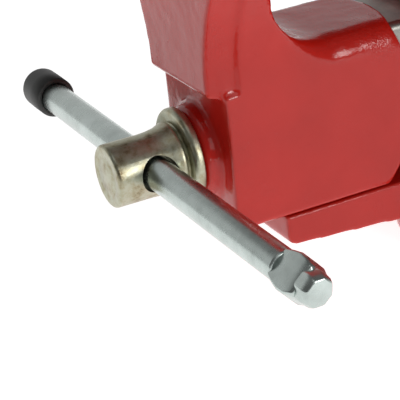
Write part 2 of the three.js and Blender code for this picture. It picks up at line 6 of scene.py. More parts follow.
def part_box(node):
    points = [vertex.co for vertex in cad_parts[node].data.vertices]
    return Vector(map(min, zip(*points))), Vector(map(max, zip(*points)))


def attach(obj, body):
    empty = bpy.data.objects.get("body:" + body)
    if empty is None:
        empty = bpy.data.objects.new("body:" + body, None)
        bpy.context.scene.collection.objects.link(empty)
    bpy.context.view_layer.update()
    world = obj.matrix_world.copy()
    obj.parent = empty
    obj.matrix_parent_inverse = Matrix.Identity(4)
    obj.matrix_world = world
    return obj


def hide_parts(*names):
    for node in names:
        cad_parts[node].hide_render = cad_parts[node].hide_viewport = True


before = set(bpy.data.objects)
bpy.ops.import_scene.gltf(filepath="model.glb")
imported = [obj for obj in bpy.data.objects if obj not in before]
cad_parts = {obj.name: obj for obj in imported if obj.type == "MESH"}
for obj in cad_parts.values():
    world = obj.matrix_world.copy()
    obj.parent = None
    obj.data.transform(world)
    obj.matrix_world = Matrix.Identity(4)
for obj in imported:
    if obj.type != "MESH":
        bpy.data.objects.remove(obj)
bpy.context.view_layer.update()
mm = 0.001
print("frame loaded:", len(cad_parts), "nodes")


# small tools

def clearSelection():
    if bpy.context.object and bpy.context.object.mode != "OBJECT":
        bpy.ops.object.mode_set(mode="OBJECT")
    bpy.ops.object.select_all(action="DESELECT")


def pickOnly(piece):
    clearSelection()
    piece.select_set(True)
    bpy.context.view_layer.objects.active = piece


def applyPlace(piece):
    pickOnly(piece)
    bpy.ops.object.transform_apply(location=True, rotation=True, scale=True)
    return piece


def applyModifier(piece, kind, settings):
    pickOnly(piece)
    modifier = piece.modifiers.new(kind.title(), kind)
    for name, value in settings.items():
        setattr(modifier, name, value)
    bpy.ops.object.modifier_apply(modifier=modifier.name)
    return piece


def shade(piece, degrees=30):
    pickOnly(piece)
    bpy.ops.object.shade_smooth_by_angle(angle=math.radians(degrees))
    return piece


def roundEdges(piece, width, segments=3, degrees=35):
    applyModifier(piece, "BEVEL", {
        "width": width, "segments": segments, "limit_method": "ANGLE",
        "angle_limit": math.radians(degrees), "use_clamp_overlap": True})
    return piece


def cutAway(piece, cutter):
    applyModifier(piece, "BOOLEAN", {"operation": "DIFFERENCE", "object": cutter, "solver": "EXACT"})
    bpy.data.objects.remove(cutter)
    return piece


def joinPieces(pieces, name):
    clearSelection()
    for piece in pieces:
        piece.select_set(True)
    bpy.context.view_layer.objects.active = pieces[0]
    bpy.ops.object.join()
    pieces[0].name = name
    return pieces[0]


def addCube(name, low, high):
    clearSelection()
    middle = (Vector(low) + Vector(high)) / 2
    bpy.ops.mesh.primitive_cube_add(size=1, location=middle)
    piece = bpy.context.object
    piece.name = name
    piece.scale = Vector(high) - Vector(low)
    return applyPlace(piece)


def addRod(name, radius, start, end, sides=64):
    clearSelection()
    start, end = Vector(start), Vector(end)
    turn = (end - start).to_track_quat("Z", "Y").to_euler()
    bpy.ops.mesh.primitive_cylinder_add(
        vertices=sides, radius=radius, depth=(end - start).length, location=(start + end) / 2, rotation=turn)
    piece = bpy.context.object
    piece.name = name
    return applyPlace(piece)


def turnProfile(name, profile, origin, axis, steps=96):
    # profile is (radius, height) pairs; one vertex is drawn along it and then spun round the axis
    clearSelection()
    along = Vector(axis).normalized()
    out = along.orthogonal().normalized()
    places = [Vector(origin) + out * radius + along * height for radius, height in profile]
    bpy.ops.mesh.primitive_plane_add(size=mm, location=places[0])
    piece = bpy.context.object
    piece.name = name
    bpy.ops.object.mode_set(mode="EDIT")
    bpy.ops.mesh.select_all(action="SELECT")
    bpy.ops.mesh.merge(type="CENTER")
    for here, there in zip(places, places[1:]):
        bpy.ops.mesh.extrude_region_move(TRANSFORM_OT_translate={"value": there - here})
    bpy.ops.mesh.select_all(action="SELECT")
    bpy.ops.mesh.spin(steps=steps, angle=2 * math.pi, center=origin, axis=along)
    bpy.ops.mesh.select_all(action="SELECT")
    bpy.ops.mesh.remove_doubles(threshold=1e-6)
    bpy.ops.mesh.normals_make_consistent(inside=False)
    bpy.ops.object.mode_set(mode="OBJECT")
    return applyPlace(piece)


def arcPoints(radiusAt, heightAt, radius, startDeg, endDeg, steps=8):
    points = []
    for i in range(steps + 1):
        angle = math.radians(startDeg + (endDeg - startDeg) * i / steps)
        points.append((radiusAt + radius * math.cos(angle), heightAt + radius * math.sin(angle)))
    return points


def mergedCopy(node, name):
    # a loose copy of a CAD node's mesh, with its doubled corners merged
    piece = bpy.data.objects.new(name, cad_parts[node].data.copy())
    bpy.context.scene.collection.objects.link(piece)
    piece.data.materials.clear()
    pickOnly(piece)
    bpy.ops.object.mode_set(mode="EDIT")
    bpy.ops.mesh.select_all(action="SELECT")
    bpy.ops.mesh.remove_doubles(threshold=1e-6)
    bpy.ops.mesh.dissolve_limited(angle_limit=math.radians(1))
    bpy.ops.object.mode_set(mode="OBJECT")
    return piece


def dress(piece, body, slot, nodes, *materials):
    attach(piece, body)
    if nodes:
        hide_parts(*nodes)
    piece.data.materials.clear()
    for material in materials:
        piece.data.materials.append(material)
    return piece


# colours and nodes

def linear(hexColour):
    channels = [int(hexColour[i:i + 2], 16) / 255 for i in (1, 3, 5)]
    return tuple(c / 12.92 if c <= 0.04045 else ((c + 0.055) / 1.055) ** 2.4 for c in channels) + (1.0,)


def addNode(tree, kind, settings=None, links=None):
    node = tree.nodes.new(kind)
    for name, value in (settings or {}).items():
        if name == "stops":
            ramp = node.color_ramp
            while len(ramp.elements) < len(value):
                ramp.elements.new(0.5)
            for element, (position, shadeValue) in zip(ramp.elements, value):
                element.position = position
                element.color = shadeValue if isinstance(shadeValue, tuple) else (shadeValue,) * 3 + (1.0,)
        elif name in node.inputs:
            node.inputs[name].default_value = value
        else:
            setattr(node, name, value)
    for name, source in (links or {}).items():
        tree.links.new(source, node.inputs[name])
    return node


def startMaterial(name):
    material = bpy.data.materials.new(name)
    material.use_nodes = True
    tree = material.node_tree
    tree.nodes.clear()
    place = addNode(tree, "ShaderNodeTexCoord").outputs["Object"]
    return material, tree, place


def endMaterial(tree, shader):
    addNode(tree, "ShaderNodeOutputMaterial", {}, {"Surface": shader.outputs["BSDF"]})


def redEnamel():
    # glossy alkyd enamel brushed and dipped over rough sand-cast iron: the gloss breaks up over
    # 7 mm swells and 1.6 mm sand grains, sparkles on coarser patches, and thins over the edges
    material, tree, place = startMaterial("glossyRedEnamel")
    swell = addNode(tree, "ShaderNodeTexNoise", {"Scale": 1 / (7 * mm), "Detail": 2.0, "Roughness": 0.5},
                    {"Vector": place})
    grain = addNode(tree, "ShaderNodeTexNoise", {"Scale": 1 / (1.6 * mm), "Detail": 3.0, "Roughness": 0.55},
                    {"Vector": place})
    patch = addNode(tree, "ShaderNodeTexNoise", {"Scale": 1 / (22 * mm), "Detail": 2.0}, {"Vector": place})
    patchHere = addNode(tree, "ShaderNodeValToRGB", {"stops": [(0.52, 0.0), (0.66, 1.0)]},
                        {"Fac": patch.outputs["Fac"]})
    sand = addNode(tree, "ShaderNodeTexNoise", {"Scale": 1 / (1.1 * mm), "Detail": 2.0, "Roughness": 0.5},
                   {"Vector": place})
    sandHere = addNode(tree, "ShaderNodeMath", {"operation": "MULTIPLY"},
                       {0: patchHere.outputs["Color"], 1: sand.outputs["Fac"]})
    nibs = addNode(tree, "ShaderNodeTexVoronoi", {"Scale": 1 / (5 * mm), "Randomness": 1.0},
                   {"Vector": place})
    nibShape = addNode(tree, "ShaderNodeValToRGB", {"stops": [(0.0, 1.0), (0.16, 0.0)]},
                       {"Fac": nibs.outputs["Distance"]})
    drift = addNode(tree, "ShaderNodeTexNoise", {"Scale": 1 / (35 * mm), "Detail": 4.0}, {"Vector": place})
    base = addNode(tree, "ShaderNodeValToRGB",
                   {"stops": [(0.3, linear("#ac1b12")), (0.7, linear("#b82018"))]},
                   {"Fac": drift.outputs["Fac"]})
    shape = addNode(tree, "ShaderNodeNewGeometry")
    edge = addNode(tree, "ShaderNodeValToRGB", {"stops": [(0.53, 0.0), (0.60, 1.0)]},
                   {"Fac": shape.outputs["Pointiness"]})
    thin = addNode(tree, "ShaderNodeMixRGB", {"Color2": linear("#c23a30")},
                   {"Fac": edge.outputs["Color"], "Color1": base.outputs["Color"]})
    chipNoise = addNode(tree, "ShaderNodeTexNoise",
                        {"Scale": 1 / (2.5 * mm), "Detail": 5.0, "Roughness": 0.65},
                        {"Vector": place})
    chipHere = addNode(tree, "ShaderNodeMath", {"operation": "MULTIPLY"},
                       {0: edge.outputs["Color"], 1: chipNoise.outputs["Fac"]})
    chip = addNode(tree, "ShaderNodeValToRGB", {"stops": [(0.66, 0.0), (0.68, 1.0)]},
                   {"Fac": chipHere.outputs["Value"]})
    colour = addNode(tree, "ShaderNodeMixRGB", {"Color2": linear("#3b2522")},
                     {"Fac": chip.outputs["Color"], "Color1": thin.outputs["Color"]})
    rough = addNode(tree, "ShaderNodeMapRange", {"To Min": 0.08, "To Max": 0.2},
                    {"Value": grain.outputs["Fac"]})
    bump1 = addNode(tree, "ShaderNodeBump", {"Strength": 1.0, "Distance": 0.12 * mm},
                    {"Height": swell.outputs["Fac"]})
    bump2 = addNode(tree, "ShaderNodeBump", {"Strength": 0.8, "Distance": 0.05 * mm},
                    {"Height": grain.outputs["Fac"], "Normal": bump1.outputs["Normal"]})
    bump3 = addNode(tree, "ShaderNodeBump", {"Strength": 0.6, "Distance": 0.15 * mm},
                    {"Height": nibShape.outputs["Color"], "Normal": bump2.outputs["Normal"]})
    bump4 = addNode(tree, "ShaderNodeBump", {"Strength": 1.0, "Distance": 0.22 * mm},
                    {"Height": sandHere.outputs["Value"], "Normal": bump3.outputs["Normal"]})
    shader = addNode(tree, "ShaderNodeBsdfPrincipled", {"IOR": 1.44},
                     {"Base Color": colour.outputs["Color"], "Roughness": rough.outputs["Result"],
                      "Normal": bump4.outputs["Normal"]})
    endMaterial(tree, shader)
    return material


def yellowZinc():
    # forged steel with a yellow-passivated zinc plate: blotchy olive and grey, small forging dimples
    material, tree, place = startMaterial("yellowPassivatedZinc")
    blotch = addNode(tree, "ShaderNodeTexNoise", {"Scale": 1 / (6 * mm), "Detail": 8.0, "Roughness": 0.7},
                     {"Vector": place})
    colour = addNode(tree, "ShaderNodeValToRGB", {"stops": [
        (0.3, linear("#75684f")), (0.42, linear("#a09a80")), (0.58, linear("#b4b5a2")),
        (0.75, linear("#978c6c"))]},
                     {"Fac": blotch.outputs["Fac"]})
    dimple = addNode(tree, "ShaderNodeTexNoise", {"Scale": 1 / (3 * mm), "Detail": 4.0, "Roughness": 0.6},
                     {"Vector": place})
    rough = addNode(tree, "ShaderNodeMapRange", {"To Min": 0.26, "To Max": 0.46},
                    {"Value": dimple.outputs["Fac"]})
    bump = addNode(tree, "ShaderNodeBump", {"Strength": 0.8, "Distance": 0.12 * mm},
                   {"Height": dimple.outputs["Fac"]})
    shader = addNode(tree, "ShaderNodeBsdfPrincipled", {"Metallic": 1.0},
                     {"Base Color": colour.outputs["Color"], "Roughness": rough.outputs["Result"],
                      "Normal": bump.outputs["Normal"]})
    endMaterial(tree, shader)
    return material


def drawnZinc(name, stretch, tint="#bcc6c2"):
    # drawn or turned steel with a bright zinc plate: faint lines along stretch's long direction
    material, tree, place = startMaterial(name)
    along = addNode(tree, "ShaderNodeMapping", {"Scale": stretch}, {"Vector": place})
    lines = addNode(tree, "ShaderNodeTexNoise", {"Scale": 1 / (0.8 * mm), "Detail": 3.0},
                    {"Vector": along.outputs["Vector"]})
    cloud = addNode(tree, "ShaderNodeTexNoise", {"Scale": 1 / (14 * mm), "Detail": 5.0, "Roughness": 0.6},
                    {"Vector": place})
    colour = addNode(tree, "ShaderNodeValToRGB", {"stops": [
        (0.3, linear("#a9b2ae")), (0.55, linear(tint)), (0.8, linear("#cbd4d2"))]},
                     {"Fac": cloud.outputs["Fac"]})
    rough = addNode(tree, "ShaderNodeMapRange", {"To Min": 0.2, "To Max": 0.34},
                    {"Value": cloud.outputs["Fac"]})
    bump = addNode(tree, "ShaderNodeBump", {"Strength": 0.4, "Distance": 0.008 * mm},
                   {"Height": lines.outputs["Fac"]})
    shader = addNode(tree, "ShaderNodeBsdfPrincipled", {"Metallic": 1.0},
                     {"Base Color": colour.outputs["Color"], "Roughness": rough.outputs["Result"],
                      "Normal": bump.outputs["Normal"]})
    endMaterial(tree, shader)
    return material


def machinedIron(name, direction):
    # planed grey cast iron: feed lines 0.9 mm apart, a few darker graphite clouds, oil-dulled
    material, tree, place = startMaterial(name)
    lines = addNode(tree, "ShaderNodeTexWave", {
        "bands_direction": direction, "Scale": 1 / (18 * mm), "Distortion": 0.6, "Detail": 2.0},
                    {"Vector": place})
    cloud = addNode(tree, "ShaderNodeTexNoise", {"Scale": 1 / (16 * mm), "Detail": 6.0, "Roughness": 0.65},
                    {"Vector": place})
    colour = addNode(tree, "ShaderNodeValToRGB", {"stops": [
        (0.3, linear("#6f6d69")), (0.6, linear("#97958f")), (0.8, linear("#a9a8a3"))]},
                     {"Fac": cloud.outputs["Fac"]})
    rough = addNode(tree, "ShaderNodeMapRange", {"To Min": 0.3, "To Max": 0.5},
                    {"Value": cloud.outputs["Fac"]})
    bump = addNode(tree, "ShaderNodeBump", {"Strength": 0.5, "Distance": 0.03 * mm},
                   {"Height": lines.outputs["Fac"]})
    shader = addNode(tree, "ShaderNodeBsdfPrincipled", {"Metallic": 1.0},
                     {"Base Color": colour.outputs["Color"], "Roughness": rough.outputs["Result"],
                      "Normal": bump.outputs["Normal"]})
    endMaterial(tree, shader)
    return material


def hardenedSteel():
    # ground and oil-hardened tool steel: dark grey with a straw cast, fine grinding scratches
    material, tree, place = startMaterial("groundToolSteel")
    along = addNode(tree, "ShaderNodeMapping", {"Scale": (1.0, 0.04, 1.0)}, {"Vector": place})
    scratch = addNode(tree, "ShaderNodeTexNoise", {"Scale": 1 / (0.7 * mm), "Detail": 4.0},
                      {"Vector": along.outputs["Vector"]})
    cloud = addNode(tree, "ShaderNodeTexNoise", {"Scale": 1 / (12 * mm), "Detail": 5.0}, {"Vector": place})
    colour = addNode(tree, "ShaderNodeValToRGB", {"stops": [
        (0.3, linear("#66645f")), (0.55, linear("#807e79")), (0.8, linear("#8f8b80"))]},
                     {"Fac": cloud.outputs["Fac"]})
    rough = addNode(tree, "ShaderNodeMapRange", {"To Min": 0.28, "To Max": 0.45},
                    {"Value": scratch.outputs["Fac"]})
    bump = addNode(tree, "ShaderNodeBump", {"Strength": 0.4, "Distance": 0.03 * mm},
                   {"Height": scratch.outputs["Fac"]})
    shader = addNode(tree, "ShaderNodeBsdfPrincipled", {"Metallic": 1.0},
                     {"Base Color": colour.outputs["Color"], "Roughness": rough.outputs["Result"],
                      "Normal": bump.outputs["Normal"]})
    endMaterial(tree, shader)
    return material


def blackOxide():
    # chemically blackened bolt steel: almost black, satin, rubbed grey on its corners
    material, tree, place = startMaterial("blackenedSteel")
    speck = addNode(tree, "ShaderNodeTexNoise", {"Scale": 1 / (2 * mm), "Detail": 5.0}, {"Vector": place})
    shape = addNode(tree, "ShaderNodeNewGeometry")
    edge = addNode(tree, "ShaderNodeValToRGB", {"stops": [(0.52, 0.0), (0.62, 1.0)]},
                   {"Fac": shape.outputs["Pointiness"]})
    dark = addNode(tree, "ShaderNodeValToRGB",
                   {"stops": [(0.35, linear("#232426")), (0.7, linear("#35363a"))]},
                   {"Fac": speck.outputs["Fac"]})
    colour = addNode(tree, "ShaderNodeMixRGB", {"Color2": linear("#77777a")},
                     {"Fac": edge.outputs["Color"], "Color1": dark.outputs["Color"]})
    rough = addNode(tree, "ShaderNodeMapRange", {"To Min": 0.34, "To Max": 0.5},
                    {"Value": speck.outputs["Fac"]})
    bump = addNode(tree, "ShaderNodeBump", {"Strength": 0.4, "Distance": 0.04 * mm},
                   {"Height": speck.outputs["Fac"]})
    shader = addNode(tree, "ShaderNodeBsdfPrincipled", {"Metallic": 1.0},
                     {"Base Color": colour.outputs["Color"], "Roughness": rough.outputs["Result"],
                      "Normal": bump.outputs["Normal"]})
    endMaterial(tree, shader)
    return material


def mouldedRubber():
    # moulded nitrile rubber: near black, matte, with fine spark-eroded mould grain and a little dust
    material, tree, place = startMaterial("mouldedNitrileRubber")
    grain = addNode(tree, "ShaderNodeTexNoise", {"Scale": 1 / (0.9 * mm), "Detail": 3.0}, {"Vector": place})
    dust = addNode(tree, "ShaderNodeTexNoise", {"Scale": 1 / (10 * mm), "Detail": 7.0, "Roughness": 0.7},
                   {"Vector": place})
    colour = addNode(tree, "ShaderNodeValToRGB",
                     {"stops": [(0.4, linear("#232422")), (0.75, linear("#3a3b39"))]},
                     {"Fac": dust.outputs["Fac"]})
    rough = addNode(tree, "ShaderNodeMapRange", {"To Min": 0.38, "To Max": 0.55},
                    {"Value": dust.outputs["Fac"]})
    bump = addNode(tree, "ShaderNodeBump", {"Strength": 0.6, "Distance": 0.06 * mm},
                   {"Height": grain.outputs["Fac"]})
    shader = addNode(tree, "ShaderNodeBsdfPrincipled", {"IOR": 1.5},
                     {"Base Color": colour.outputs["Color"], "Roughness": rough.outputs["Result"],
                      "Normal": bump.outputs["Normal"]})
    endMaterial(tree, shader)
    return material


enamel = redEnamel()
forgedZinc = yellowZinc()
barZinc = drawnZinc("drawnBarZinc", (1.0, 0.03, 1.0))
smallZinc = drawnZinc("turnedZinc", (1.0, 1.0, 0.05))
slideIron = machinedIron("planedSlideIron", "X")
flatIron = machinedIron("milledFlatIron", "Y")
toolSteel = hardenedSteel()
blackSteel = blackOxide()
rubber = mouldedRubber()
print("materials made")


# camera: near telephoto, above and in front of the screw head, rolled a little
cameraSettings = {
    "azimuth": -23.64, "elevation": 24.16, "roll": -6.71, "lens": 150.36,
    "distance": 807.5 * mm, "anchorLeft": 45.05 * mm, "anchorUp": 11.04 * mm}
screwLow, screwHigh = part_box("lead_screw")
screwZ = (screwLow.z + screwHigh.z) / 2
headFace = Vector((screwLow.x, 0, screwZ))


def addCamera():
    turn, lift, roll = (math.radians(cameraSettings[k]) for k in ("azimuth", "elevation", "roll"))
    back = Vector((math.sin(turn) * math.cos(lift), -math.cos(turn) * math.cos(lift), math.sin(lift)))
    level = Vector((math.cos(turn), math.sin(turn), 0))
    upright = back.cross(level)
    right = level * math.cos(roll) + upright * math.sin(roll)
    up = upright * math.cos(roll) - level * math.sin(roll)
    spot = headFace + right * cameraSettings["anchorLeft"] - up * cameraSettings["anchorUp"]
    spot = spot + back * cameraSettings["distance"]
    data = bpy.data.cameras.new("camera")
    data.lens = cameraSettings["lens"]
    data.sensor_width = 36
    data.clip_start = 0.01
    camera = bpy.data.objects.new("camera", data)
    bpy.context.scene.collection.objects.link(camera)
    camera.matrix_world = Matrix.Translation(spot) @ Matrix((right, up, back)).transposed().to_4x4()
    bpy.context.scene.camera = camera


addCamera()


# studio: a backlit white table, a bright backdrop behind, and soft light from the camera's side
studio = {"tableGlow": 0.87, "surround": 0.14, "backdrop": 17, "key": 8, "wash": 3.2, "overhead": 1}


def addLight(name, spot, size, power, aim):
    data = bpy.data.lights.new(name, "AREA")
    data.shape = "RECTANGLE"
    data.size, data.size_y = size
    data.energy = power
    light = bpy.data.objects.new(name, data)
    light.location = spot
    light.rotation_euler = (Vector(aim) - Vector(spot)).to_track_quat("-Z", "Y").to_euler()
    bpy.context.scene.collection.objects.link(light)


def addStudio():
    clearSelection()
    bpy.ops.mesh.primitive_plane_add(size=8, location=(0, 0, -0.2 * mm))
    floor = bpy.context.object
    floor.name = "floor"
    # lit from below, so the object throws no dark shadow on it
    material, tree, place = startMaterial("backlitWhiteAcrylic")
    endMaterial(tree, addNode(tree, "ShaderNodeBsdfPrincipled", {
        "Base Color": linear("#f2f2f2"), "Roughness": 0.8, "Emission Color": (1, 1, 1, 1),
        "Emission Strength": studio["tableGlow"]}))
    floor.data.materials.append(material)
    world = bpy.data.worlds.new("studio")
    world.use_nodes = True
    world.node_tree.nodes["Background"].inputs["Color"].default_value = (1, 1, 1, 1)
    world.node_tree.nodes["Background"].inputs["Strength"].default_value = studio["surround"]
    bpy.context.scene.world = world
    middle = (-0.05, 0, 0.1)
    addLight("backdrop", (-0.2, 2.2, 0.9), (5.6, 1.9), studio["backdrop"], (0, 0, 0.3))
    addLight("keySoftbox", (0.45, -1.6, 0.5), (0.5, 0.5), studio["key"], middle)
    addLight("washSoftbox", (0.1, -1.6, 1.0), (1.3, 0.7), studio["wash"], middle)
    addLight("overheadSoftbox", (-0.5, -0.2, 1.6), (0.8, 0.8), studio["overhead"], middle)
    bpy.context.scene.view_settings.view_transform = "Standard"


addStudio()
print("camera and studio set")


# the three castings: the CAD shape with sand-cast roundings and a slightly lumpy skin
castings = {"voxel": 1.4 * mm, "softening": 6, "lump": 9 * mm, "lumpDepth": 0.3 * mm, "mostFaces": 95000}


def castSkin(piece):
    applyModifier(piece, "REMESH", {"mode": "VOXEL", "voxel_size": castings["voxel"], "adaptivity": 0.0})
    applyModifier(piece, "SMOOTH", {"factor": 0.5, "iterations": castings["softening"]})
    lumps = bpy.data.textures.new("castLumps", "CLOUDS")
    lumps.noise_scale = castings["lump"]
    lumps.noise_depth = 1
    applyModifier(piece, "DISPLACE", {
        "texture": lumps, "texture_coords": "LOCAL", "strength": castings["lumpDepth"], "mid_level": 1.0})
    faces = len(piece.data.polygons)
    if faces > castings["mostFaces"]:
        applyModifier(piece, "DECIMATE", {"ratio": castings["mostFaces"] / faces})
    clearSelection()
    piece.select_set(True)
    bpy.context.view_layer.objects.active = piece
    bpy.ops.object.shade_smooth()
    print(piece.name, "has", len(piece.data.polygons), "faces")
    return piece


# the painted block stops at a domed rear end, and the bare slide goes on from there
paintEnd = {"domeX": -138.5 * mm, "domeZ": 100 * mm, "domeRadius": 73.6 * mm}


def makeMovingCasting():
    piece = mergedCopy("moving_jaw", "movingJawCasting")
    behind = addCube("behindPaint", (-100 * mm, -60 * mm, 40 * mm), (120 * mm, 60 * mm, 160 * mm))
    clearSelection()
    bpy.ops.mesh.primitive_uv_sphere_add(
        segments=128, ring_count=64, radius=paintEnd["domeRadius"],
        location=(paintEnd["domeX"], 0, paintEnd["domeZ"]))
    dome = applyPlace(bpy.context.object)
    cutAway(behind, dome)
    cutAway(piece, behind)
    castSkin(piece)
    dress(piece, "moving_jaw", "red_paint", ["moving_jaw"], enamel)


slideSizes = {
    "front": -92 * mm, "halfWidth": 28 * mm, "bottom": 64 * mm, "top": 137 * mm, "topRound": 4 * mm,
    "channelHalf": 17 * mm, "channelTop": 118 * mm}


def makeSlide():
    low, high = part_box("moving_jaw")
    s = slideSizes
    bar = addCube("movingJawSlide", (s["front"], -s["halfWidth"], s["bottom"]),
                  (high.x, s["halfWidth"], s["top"]))
    channel = addCube("channel", (s["front"] - 9 * mm, -s["channelHalf"], s["bottom"] - 9 * mm),
                      (high.x + 9 * mm, s["channelHalf"], s["channelTop"]))
    roundEdges(channel, 3 * mm, 4)
    pickOnly(bar)
    for edge in bar.data.edges:
        ends = [bar.data.vertices[i].co for i in edge.vertices]
        edge.select = all(end.z > s["top"] - mm for end in ends) and abs(ends[0].y - ends[1].y) < mm
    for vertex in bar.data.vertices:
        vertex.select = vertex.co.z > s["top"] - mm
    for face in bar.data.polygons:
        face.select = False
    bpy.ops.object.mode_set(mode="EDIT")
    bpy.ops.mesh.select_mode(type="EDGE")
    bpy.ops.mesh.bevel(offset=s["topRound"], segments=5)
    bpy.ops.mesh.select_mode(type="VERT")
    bpy.ops.object.mode_set(mode="OBJECT")
    cutAway(bar, channel)
    roundEdges(bar, 0.5 * mm, 3)
    shade(bar)
    dress(bar, "moving_jaw", "bare_iron", ["moving_jaw"], slideIron)


anvilFace = {"top": 164 * mm, "front": 46 * mm}  # the milled flat left unpainted


def makeFixedCasting():
    piece = mergedCopy("fixed_jaw_body", "fixedJawCasting")
    castSkin(piece)
    dress(piece, "fixed_body", "red_paint", ["fixed_jaw_body"], enamel, flatIron)
    for face in piece.data.polygons:
        level = face.normal.z > 0.97 and abs(face.center.z - anvilFace["top"]) < mm
        if level and face.center.x > anvilFace["front"]:
            face.material_index = 1


def makeBaseCasting():
    piece = mergedCopy("swivel_base", "swivelBaseCasting")
    castSkin(piece)
    dress(piece, "base", "red_paint", ["swivel_base"], enamel)


makeMovingCasting()
makeSlide()
makeFixedCasting()
makeBaseCasting()
print("castings made")


# lead screw: forged head with a collar, turned shank, and a square-shouldered thread
screwSizes = {
    "headRadius": 15.9 * mm, "collarRadius": 24.5 * mm, "shankRadius": 12 * mm, "threadRadius": 11 * mm,
    "rootRadius": 8.7 * mm, "lead": 5 * mm, "shankEnd": -128 * mm, "barX": -206.4 * mm, "barHole": 9.5 * mm}


def makeLeadScrew():
    s = screwSizes
    head, collar = s["headRadius"], s["collarRadius"]
    profile = [
        (0, 0), (head * 0.55, 0), (head * 0.58, 0.25 * mm), (head * 0.66, 0.25 * mm), (head * 0.69, 0)]
    profile += arcPoints(head - 1.8 * mm, 1.8 * mm, 1.8 * mm, -90, 0, 6)
    profile += [(head, 20 * mm), (head + 0.3 * mm, 25 * mm), (head + 1.1 * mm, 30 * mm),
                (head + 2.5 * mm, 33.4 * mm)]
    profile += arcPoints(head + 1.4 * mm, 34.6 * mm, 1.2 * mm, 10, 80, 3)
    profile += [(head + 1.1 * mm, 36.2 * mm), (head + 1.8 * mm, 36.9 * mm)]
    profile += arcPoints(collar - 2.4 * mm, 39.4 * mm, 2.4 * mm, -90, 0, 6)
    profile += arcPoints(collar - 0.8 * mm, 41.2 * mm, 0.8 * mm, 0, 90, 3)
    profile += [(s["shankRadius"], 42 * mm), (s["shankRadius"], s["shankEnd"] - headFace.x - 1 * mm),
                (s["threadRadius"] - 1 * mm, s["shankEnd"] - headFace.x), (0, s["shankEnd"] - headFace.x)]
    forging = turnProfile("leadScrewPiece", profile, headFace, (1, 0, 0), 128)
    barHole = addRod("barHole", s["barHole"], (s["barX"], -40 * mm, screwZ), (s["barX"], 40 * mm, screwZ), 96)
    cutAway(forging, barHole)
    roundEdges(forging, 0.5 * mm, 3, 40)
    shade(forging, 35)

    tip = screwHigh.x
    start = s["shankEnd"] - 1 * mm
    turns = int((tip - start) / s["lead"])
    tooth = [(0, s["rootRadius"]), (1.5 * mm, s["rootRadius"]), (2.1 * mm, s["threadRadius"]),
             (4.4 * mm, s["threadRadius"]), (5.0 * mm, s["rootRadius"])]
    clearSelection()
    bpy.ops.mesh.primitive_plane_add(size=mm, location=(start, 0, screwZ))
    thread = bpy.context.object
    thread.name = "thread"
    bpy.ops.object.mode_set(mode="EDIT")
    bpy.ops.mesh.select_all(action="SELECT")
    bpy.ops.mesh.merge(type="CENTER")
    bpy.ops.transform.translate(value=(0, 0, s["rootRadius"]))
    for here, there in zip(tooth, tooth[1:]):
        step = (there[0] - here[0], 0, there[1] - here[1])
        bpy.ops.mesh.extrude_region_move(TRANSFORM_OT_translate={"value": step})
    bpy.ops.object.mode_set(mode="OBJECT")
    applyModifier(thread, "SCREW", {
        "axis": "X", "angle": 2 * math.pi, "screw_offset": s["lead"], "iterations": turns,
        "steps": 32, "render_steps": 32, "use_merge_vertices": True, "merge_threshold": 0.01 * mm})
    applyPlace(thread)
    bpy.ops.object.mode_set(mode="EDIT")
    bpy.ops.mesh.select_all(action="SELECT")
    bpy.ops.mesh.remove_doubles(threshold=1e-6)
    bpy.ops.mesh.select_all(action="DESELECT")
    bpy.ops.mesh.select_non_manifold(extend=False, use_wire=False, use_boundary=True, use_multi_face=False)
    bpy.ops.mesh.fill()
    bpy.ops.mesh.select_all(action="SELECT")
    bpy.ops.mesh.normals_make_consistent(inside=False)
    bpy.ops.object.mode_set(mode="OBJECT")
    shade(thread, 40)
    core = turnProfile("core", [
        (0, 0), (s["rootRadius"] - 0.2 * mm, 0), (s["rootRadius"] - 0.2 * mm, tip - start - 2.4 * mm),
        (s["rootRadius"] - 2 * mm, tip - start - 0.6 * mm), (0, tip - start - 0.6 * mm)],
        (start, 0, screwZ), (1, 0, 0), 48)
    shade(core)
    piece = joinPieces([forging, thread, core], "leadScrewPiece")
    dress(piece, "spindle", "yellow_zinc", ["lead_screw"], forgedZinc)


makeLeadScrew()
print("lead screw made")


# handle: drawn bar, one end pressed between two dies, the other in a rubber cap
handleSizes = {
    "radius": 8 * mm, "shoulder": -140 * mm, "flatEnd": -160 * mm, "tip": -168 * mm,
    "flats": [(7.0, 5.9), (8.4, 6.0), (9.5, 6.1), (9.3, 6.1), (7.4, 5.8)],  # half width and thickness in mm
    "noseStart": -156 * mm, "nose": [(8.2, 6.0), (8.7, 6.7), (8.6, 7.2), (8.2, 7.2), (7.0, 6.4)],
    "pressTurn": 48, "capRadius": 11.0 * mm}


def resizeRows(piece, count, length, settings):
    # cuts the piece across its length into rows and sizes each row on its own
    bpy.ops.object.mode_set(mode="EDIT")
    for cut in range(1, count):
        bpy.ops.mesh.select_all(action="SELECT")
        bpy.ops.mesh.bisect(plane_co=(0, length * (0.5 - cut / count), 0), plane_no=(0, 1, 0))
    for row, (wide, thin) in enumerate(settings):
        at = length * (0.5 - row / count)
        bpy.ops.object.mode_set(mode="OBJECT")
        for vertex in piece.data.vertices:
            vertex.select = abs(vertex.co.y - at) < 0.2 * mm
        for element in [*piece.data.edges, *piece.data.polygons]:
            element.select = False
        bpy.ops.object.mode_set(mode="EDIT")
        bpy.ops.mesh.select_mode(type="VERT")
        bpy.ops.transform.resize(value=(thin, 1, wide))
    bpy.ops.object.mode_set(mode="OBJECT")


def seatEnd(piece, middleY):
    # turned so that the pressed flats face up and forward
    piece.rotation_euler = (0, math.radians(handleSizes["pressTurn"]), 0)
    piece.location = (screwSizes["barX"], middleY, screwZ)
    applyPlace(piece)
    shade(piece, 30)
    return piece


